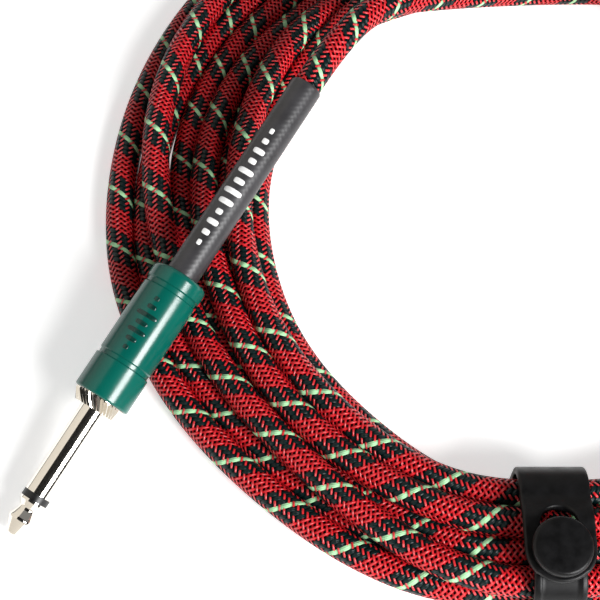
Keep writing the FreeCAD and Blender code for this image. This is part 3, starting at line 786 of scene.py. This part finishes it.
def addTieBand(s):
    # a rounded strip carried along its path: out over the pad, down, under the coil and up
    inset = s["thick"] / 2
    bend = s["corner"] - inset
    low, high = s["outerY"] + s["corner"], s["innerY"] - s["corner"]
    top, bottom = s["height"] - s["corner"], s["corner"]
    path = np.vstack([
        np.column_stack([np.linspace(s["padEndY"], low, 8)[:-1], np.full(7, s["height"] - inset)]),
        arc((low, top), bend, 90, 180, 12),
        arc((low, bottom), bend, 180, 270, 12),
        arc((high, bottom), bend, 270, 360, 12),
    ])
    way = np.gradient(path, axis=0)
    way /= np.linalg.norm(way, axis=1)[:, None]
    outward = np.column_stack([way[:, 1], -way[:, 0]])
    stemLow, stemHigh = s["stemZ"]
    fromPad = np.clip((path[:, 1] - stemLow) / (stemHigh - stemLow), 0, 1) * (path[:, 0] < s["stemY"])
    fromPad = fromPad * fromPad * (3 - 2 * fromPad)
    half = (s["wide"] + (s["padWide"] - s["wide"]) * fromPad) / 2
    # one turn round the strip: a rounded oblong, thinner between two rims on its outer face
    turn = np.arange(64) / 64 * 2 * np.pi
    across = np.sign(np.cos(turn)) * np.abs(np.cos(turn)) ** s["acrossSquare"]
    depth = np.sign(np.sin(turn)) * np.abs(np.sin(turn)) ** s["depthSquare"]
    x = across[None] * half[:, None]
    middle = np.clip((half[:, None] - np.abs(x) - s["rimWide"]) / s["rimSlope"], 0, 1)
    sunk = s["rim"] * middle * fromPad[:, None] * (depth[None] > 0)
    out = depth[None] * inset - sunk
    grid = np.stack([x, path[:, :1] + out * outward[:, :1], path[:, 1:] + out * outward[:, 1:]], axis=-1)
    rows, sides = grid.shape[:2]
    faces = gridFaces(rows, sides).tolist()
    faces += [list(range(sides))[::-1], list(range((rows - 1) * sides, rows * sides))]
    band = addPiece("tieBand", grid.reshape(-1, 3).tolist(), faces, tieRubber)
    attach(band, "cable")
    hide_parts("tie_band")


def addTieTab(s):
    # a sheet up the inner side and over the top, opened by a slot; squares about the slot's ends
    # are drawn in to circles, and Solidify gives the sheet its thickness
    inset = s["thick"] / 2
    bend = s["corner"] - inset
    high = s["innerY"] - s["corner"]
    top = s["height"] - s["corner"]
    half = s["wide"] / 2
    hole = s["slotHalf"]
    columns = np.concatenate([np.linspace(-half, -hole, 5), np.linspace(-hole, hole, 9)[1:-1],
                              np.linspace(hole, half, 5)])
    inner, outer = s["slotInner"] - hole, s["slotOuter"] + hole
    onTop = np.concatenate([
        np.linspace(high, inner + hole, 6)[1:-1], np.linspace(inner + hole, inner, 5)[:-1],
        np.linspace(inner, outer, 6)[:-1], np.linspace(outer, outer - hole, 5)[:-1],
        np.linspace(outer - hole, s["tabEndY"], 5),
    ])
    start = np.column_stack([np.full(6, s["innerY"] - inset), np.linspace(s["joinZ"], top, 6)])[:-1]
    path = np.vstack([
        start, arc((high, top), bend, 0, 90, 12),
        np.column_stack([onTop, np.full(len(onTop), s["height"] - inset)]),
    ])
    x = np.broadcast_to(columns[None], (len(path), len(columns))).copy()
    y = np.broadcast_to(path[:, :1], x.shape).copy()
    z = np.broadcast_to(path[:, 1:], x.shape).copy()
    flat = np.arange(len(path)) >= len(path) - len(onTop)
    for middle, sign, fade in ((inner, 1, 1.0), (outer, -1, 0.0)):
        off = (y - middle) * sign
        square = np.maximum(np.abs(x), off)
        toCircle = square / np.maximum(np.hypot(x, off), 1e-9)
        keep = fade * np.clip((square - hole) / (half - hole), 0, 1)
        factor = np.where((off > 0) & flat[:, None], toCircle * (1 - keep) + keep, 1.0)
        x = x * factor
        y = np.where((off > 0) & flat[:, None], middle + sign * off * factor, y)
    ramp = np.clip((s["rampStart"] - y) / (s["rampStart"] - s["rampEnd"]), 0, 1)
    lift = (s["thick"] + s["lift"]) * ramp * ramp * (3 - 2 * ramp)
    z = z + lift * flat[:, None]
    rows, count = x.shape
    index = np.arange(rows * count).reshape(rows, count)
    quads = np.stack([index[:-1, :-1], index[1:, :-1], index[1:, 1:], index[:-1, 1:]], axis=-1)
    rowY = path[:, :1]
    near = 1e-7
    inSlot = (rowY[:-1] <= inner + hole + near) & (rowY[1:] >= outer - hole - near) & flat[:-1, None]
    between = (np.abs(columns[:-1] + columns[1:]) / 2 < hole)[None]
    kept = quads[~(inSlot & between)]
    used = np.unique(kept)
    renumber = np.zeros(rows * count, int)
    renumber[used] = np.arange(len(used))
    points = np.stack([x, y, z], axis=-1).reshape(-1, 3)[used]
    tab = addPiece("tieTab", points.tolist(), renumber[kept].tolist(), tieRubber)
    wall = tab.modifiers.new("wall", "SOLIDIFY")
    wall.thickness = s["thick"]
    wall.offset = 0.0
    edge = tab.modifiers.new("edge", "BEVEL")
    edge.width = s["edgeRound"]
    edge.segments = 2
    edge.limit_method = "ANGLE"
    soft = tab.modifiers.new("soft", "SUBSURF")
    soft.levels = 2
    soft.render_levels = 2
    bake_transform(tab)
    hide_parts("tie_tab")


def addButton(s):
    # a turned stud: neck, then a head with a rounded rim and a low dome
    top = s["height"] - 0.0004
    under = s["height"] + 2 * s["lift"] + s["thick"]
    head = s["headRadius"]
    tall = s["headHeight"]
    bevel = s["headRound"]
    rim = arc((head - bevel, under + tall - 0.0010), bevel, 0, 80, 7)
    profile = np.vstack([
        [(0.0001, top), (s["neckRadius"], top), (s["neckRadius"], under - 0.0002)],
        [(s["neckRadius"] + 0.0004, under), (head - 0.0005, under), (head - 0.0001, under + 0.0003)],
        rim,
        [(head - 0.0018, under + tall - 0.00008), (head * 0.4, under + tall - 0.00002),
         (0.0001, under + tall)],
    ])
    sides = s["buttonSides"]
    around = np.arange(sides) / sides * 2 * np.pi
    x = profile[:, :1] * np.cos(around)[None]
    y = s["buttonY"] + profile[:, :1] * np.sin(around)[None]
    z = np.broadcast_to(profile[:, 1:], x.shape)
    grid = np.stack([x, y, z], axis=-1)
    faces = gridFaces(*x.shape).tolist()
    rows = len(profile)
    faces += [list(range(sides))[::-1], list(range((rows - 1) * sides, rows * sides))]
    button = addPiece("tieButton", grid.reshape(-1, 3).tolist(), faces, tieRubber)
    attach(button, "cable")
    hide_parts("tie_button")


addTieBand(tieSizes)
addTieTab(tieSizes)
addButton(tieSizes)
print("tie made")


# the floor, the light, and boards that only the plugs' gloss can see
studio = {
    "floorSide": 3.0,
    "floorColour": "#F6F6F5",
    "fill": 0.24,  # what the white surroundings give to rough surfaces
    "surround": 0.25,  # and what shows in glossy ones
    "keyPower": 13.0,
    "keyPlace": (0.50, -0.56, 0.53),
    "keySize": 0.36,
    # black cards seen only in reflections: from and to, in degrees from the overhead line of
    # sight towards the key, round plug A's pin
    "cards": [(-36, 22), (59, 76)],
    "panel": (-100, -36),  # a white board on the other side, also only seen in reflections
    "panelGlow": 0.80,
    "floorGlow": 0.52,
    "cardDistance": 0.7,
    "cardHalfLength": 0.45,
    "panelHalfLength": 1.1,
    "frontBoard": 0.6,  # a third board beyond the plug's tip: its distance and half its side
}


def addCards(s):
    # painted board: dull, and either near black or a glowing warm white
    black = newMaterial("blackCard", wirePlain("#050505", "#080808", 40.0, 0.9))
    white = newMaterial("whiteBoard", wirePlain("#605D58", "#66635E", 40.0, 0.9),
                        Emission_Color=linear("#F4EEE4"), Emission_Strength=s["panelGlow"])
    middle = stationPoint("_a", plugSizes["pinStation"])
    tail = marks["_a"][1]
    eye = np.array(bpy.context.scene.camera.location) - middle
    eye -= tail * (eye @ tail)
    eye /= np.linalg.norm(eye)
    side = np.cross(tail, eye)
    boards = [(span, black) for span in s["cards"]] + [(s["panel"], white)]
    places = []
    for span, material in boards:
        reach = tail * (s["panelHalfLength"] if material == white else s["cardHalfLength"])
        first, last = (s["cardDistance"] * (eye * math.cos(angle) + side * math.sin(angle))
                       for angle in np.radians(span))
        places.append(([first - reach, first + reach, last + reach, last - reach], material))
    square = ((0, -1), (0, 1), (1, 1), (1, -1))
    front = [s["frontBoard"] * (eye * rise + side * shift - tail) for rise, shift in square]
    places.append((front, white))
    for number, (corners, material) in enumerate(places):
        card = addPiece("card" + str(number), [(middle + corner).tolist() for corner in corners],
                        [(0, 1, 2, 3)], material, smooth=False)
        card.visible_camera = False
        card.visible_diffuse = False
        card.visible_shadow = False
        card.visible_transmission = False


def addStudio(s):
    half = s["floorSide"] / 2
    # matt seamless paper: white, with a grain too fine to see, and lit enough to lose its edges
    paper = newMaterial("paleStudioPaper",
                        wirePlain(s["floorColour"], "#FAFAF9", 30.0, 0.8, 0.00005, 0.05),
                        Emission_Color=linear("#FFFFFF"), Emission_Strength=s["floorGlow"])
    floor = addPiece("floor", [(-half, -half, 0), (half, -half, 0), (half, half, 0), (-half, half, 0)],
                     [(0, 1, 2, 3)], paper, smooth=False)
    world = bpy.data.worlds.new("studioWorld")
    world.use_nodes = True
    tree = world.node_tree
    path = tree.nodes.new("ShaderNodeLightPath")
    dim = tree.nodes.new("ShaderNodeMapRange")
    dim.inputs["To Min"].default_value = s["surround"]
    dim.inputs["To Max"].default_value = s["fill"]
    tree.links.new(path.outputs["Is Diffuse Ray"], dim.inputs["Value"])
    tree.links.new(dim.outputs["Result"], tree.nodes["Background"].inputs["Strength"])
    tree.nodes["Background"].inputs["Color"].default_value = linear("#FFFFFF")
    bpy.context.scene.world = world
    light = bpy.data.lights.new("key", "AREA")
    light.energy = s["keyPower"]
    light.size = s["keySize"]
    key = bpy.data.objects.new("key", light)
    key.location = s["keyPlace"]
    aim = Vector(cameraPlace["lookAt"]) - Vector(s["keyPlace"])
    key.rotation_euler = aim.to_track_quat("-Z", "Y").to_euler()
    bpy.context.scene.collection.objects.link(key)
    addCards(s)


addStudio(studio)
bpy.context.scene.view_settings.view_transform = "Standard"
